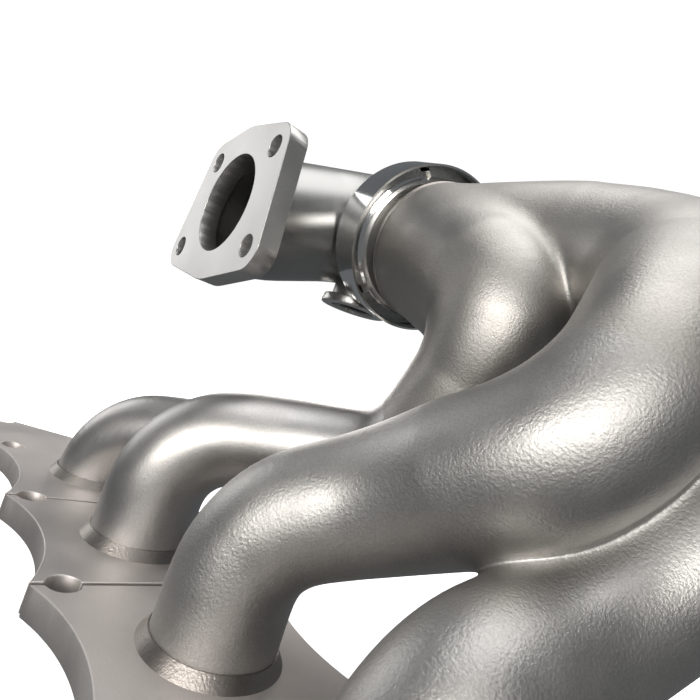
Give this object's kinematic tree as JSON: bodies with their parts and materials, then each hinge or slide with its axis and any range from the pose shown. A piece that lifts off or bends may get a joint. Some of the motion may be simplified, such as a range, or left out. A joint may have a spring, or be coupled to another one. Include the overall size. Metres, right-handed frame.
{
  "type": "exhaust manifold",
  "caption": "Tubular turbo exhaust manifold: flanged runners merging into a V-band outlet with clamp, adapter elbow, square turbine flange and wastegate port.",
  "frame": {"origin": "centre of the head bolt pattern on the gasket face of the head flange", "axes": "+X along the row of ports, +Y across the flange towards the collector, +Z away from the cylinder head"},
  "size_m": [0.442, 0.2231, 0.2615],
  "materials": {
    "machined_flange": "milled face, faint tool marks",
    "blasted_stainless": "grit blasted",
    "heat_tinted_casting": "satin, faint brown heat tint",
    "weld_bead": "rippled weld",
    "polished_band": "mirror polished strip",
    "fastener_steel": "bright",
    "seal_steel": "pressed sheet",
    "turned_flange": "turned and milled",
    "satin_tube": "satin"
  },
  "bodies": {
    "manifold": {"adapter_elbow": "satin_tube", "adapter_v_flange": "turned_flange", "clamp_band": "polished_band", "clamp_saddle": "fastener_steel", "collector": "heat_tinted_casting", "foot_weld_1": "weld_bead", "foot_weld_2": "weld_bead", "foot_weld_3": "weld_bead", "foot_weld_4": "weld_bead", "head_flange_1": "machined_flange", "head_flange_2": "machined_flange", "head_flange_3": "machined_flange", "head_flange_4": "machined_flange", "neck_weld": "weld_bead", "outlet_v_flange": "turned_flange", "runner_1": "blasted_stainless", "runner_2": "blasted_stainless", "runner_3": "blasted_stainless", "runner_4": "blasted_stainless", "turbine_flange": "turned_flange", "turbine_weld": "weld_bead", "v_band_seal": "seal_steel", "v_retainer_1": "polished_band", "v_retainer_2": "polished_band", "v_retainer_3": "polished_band", "wastegate_flange": "turned_flange", "wastegate_stub": "satin_tube"},
    "t_bolt": {"t_bolt": "fastener_steel"},
    "lock_nut": {"lock_nut": "fastener_steel"}
  },
  "joints": [
    {"name": "t_bolt_swing", "type": "hinge", "parent": "manifold", "child": "t_bolt", "pos_m": [-0.02508, 0.16169, 0.2206], "axis": [0.9468, -0.1682, -0.2745], "range_deg": [0, 100]},
    {"name": "lock_nut_run", "type": "slide", "parent": "t_bolt", "child": "lock_nut", "axis": [-0.2785, 0, -0.9604], "range_m": [0, 0.009]}
  ]
}
